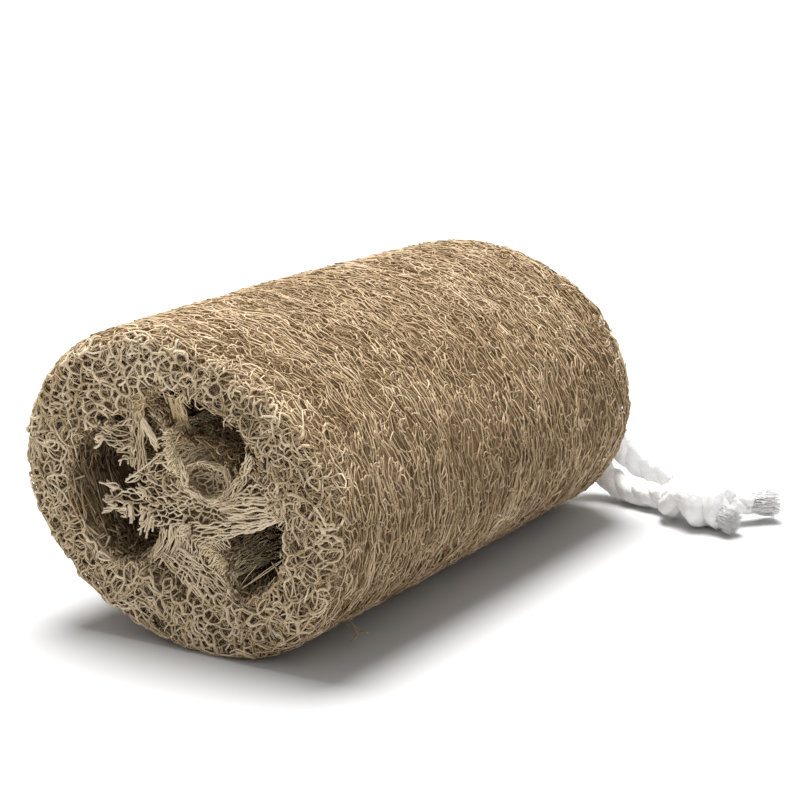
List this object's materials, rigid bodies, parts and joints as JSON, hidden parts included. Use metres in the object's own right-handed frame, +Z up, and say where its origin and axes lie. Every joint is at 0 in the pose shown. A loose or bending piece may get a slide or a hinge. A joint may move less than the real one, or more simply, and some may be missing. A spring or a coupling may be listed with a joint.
{
  "type": "natural loofah sponge",
  "caption": "Cut length of dried loofah gourd for washing, with seed channels through it and a cotton cord threaded through one end and knotted.",
  "frame": {"origin": "centre of the loofah's own box in plan, at the height of the surface it rests on; the cord isn't counted", "axes": "+Y along the loofah from its open cut end to its corded end, +Z up, +X towards the side the knot lies on"},
  "size_m": [0.1157, 0.1628, 0.0701],
  "materials": {
    "loofah_fibre": "dry, matt, open net of pale tan plant fibres",
    "cotton_cord": "soft, matt, twisted white cotton"
  },
  "bodies": {
    "root": {"loofah_body": "loofah_fibre", "cord_lower_leg": "cotton_cord", "cord_in_core": "cotton_cord", "cord_upper_leg": "cotton_cord", "cord_knot": "cotton_cord", "cord_long_tail": "cotton_cord", "cord_short_tail": "cotton_cord"}
  },
  "joints": []
}
